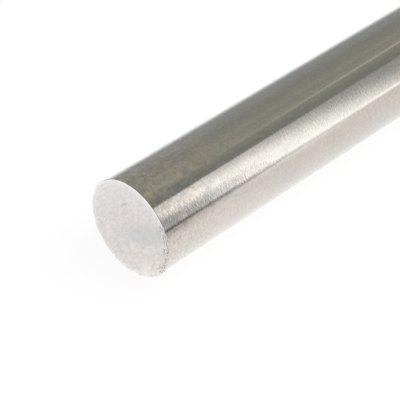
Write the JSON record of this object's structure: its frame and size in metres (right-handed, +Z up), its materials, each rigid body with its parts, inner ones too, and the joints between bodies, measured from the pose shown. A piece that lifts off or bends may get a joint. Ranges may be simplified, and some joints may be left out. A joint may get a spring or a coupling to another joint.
{
  "type": "round metal bar",
  "caption": "Solid round bar of bright ground stainless steel, cut to length with plain sawn ends, used as stock for shafts, pins, spacers and turned parts.",
  "frame": {"origin": "on the floor under the middle of the bar's length, straight below its axis", "axes": "+X along the bar, from the sawn end that the picture shows to the other end; +Z up from the floor"},
  "size_m": [0.3, 0.025, 0.025],
  "materials": {
    "ground_steel": "bright, centreless ground stainless steel with fine marks round the bar; the ends are sawn and matt"
  },
  "bodies": {
    "root": {"round_bar": "ground_steel"}
  },
  "joints": []
}
